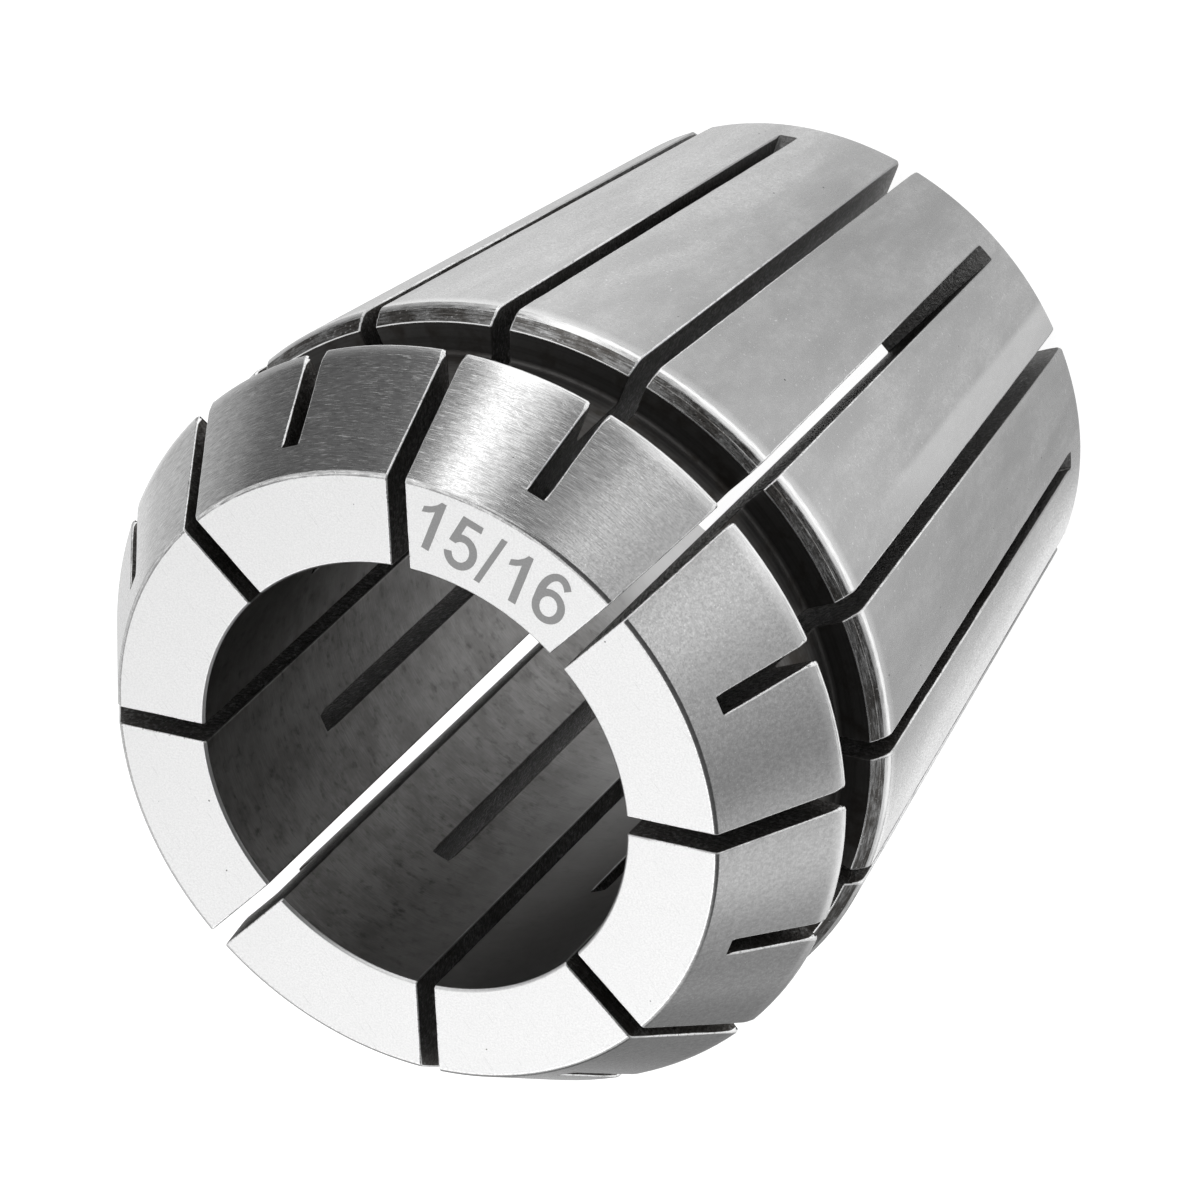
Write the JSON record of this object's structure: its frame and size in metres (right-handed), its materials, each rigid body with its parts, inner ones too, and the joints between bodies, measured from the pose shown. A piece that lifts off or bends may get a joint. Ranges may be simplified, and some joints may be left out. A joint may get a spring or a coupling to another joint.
{
  "type": "spring collet",
  "caption": "Double-taper spring collet: a slotted steel sleeve with a straight bore, a long 8 degree taper, a groove and a 30 degree nose.",
  "frame": {"origin": "centre of the rear face, on which the collet stands", "axes": "+Z along the bore axis, towards the nose; +X through a slot that is open at the nose"},
  "size_m": [0.0414, 0.0414, 0.046],
  "materials": {
    "steel": "fine ground tapers, turned bore, dark groove and slots"
  },
  "bodies": {
    "root": {"collet": "steel"}
  },
  "joints": []
}
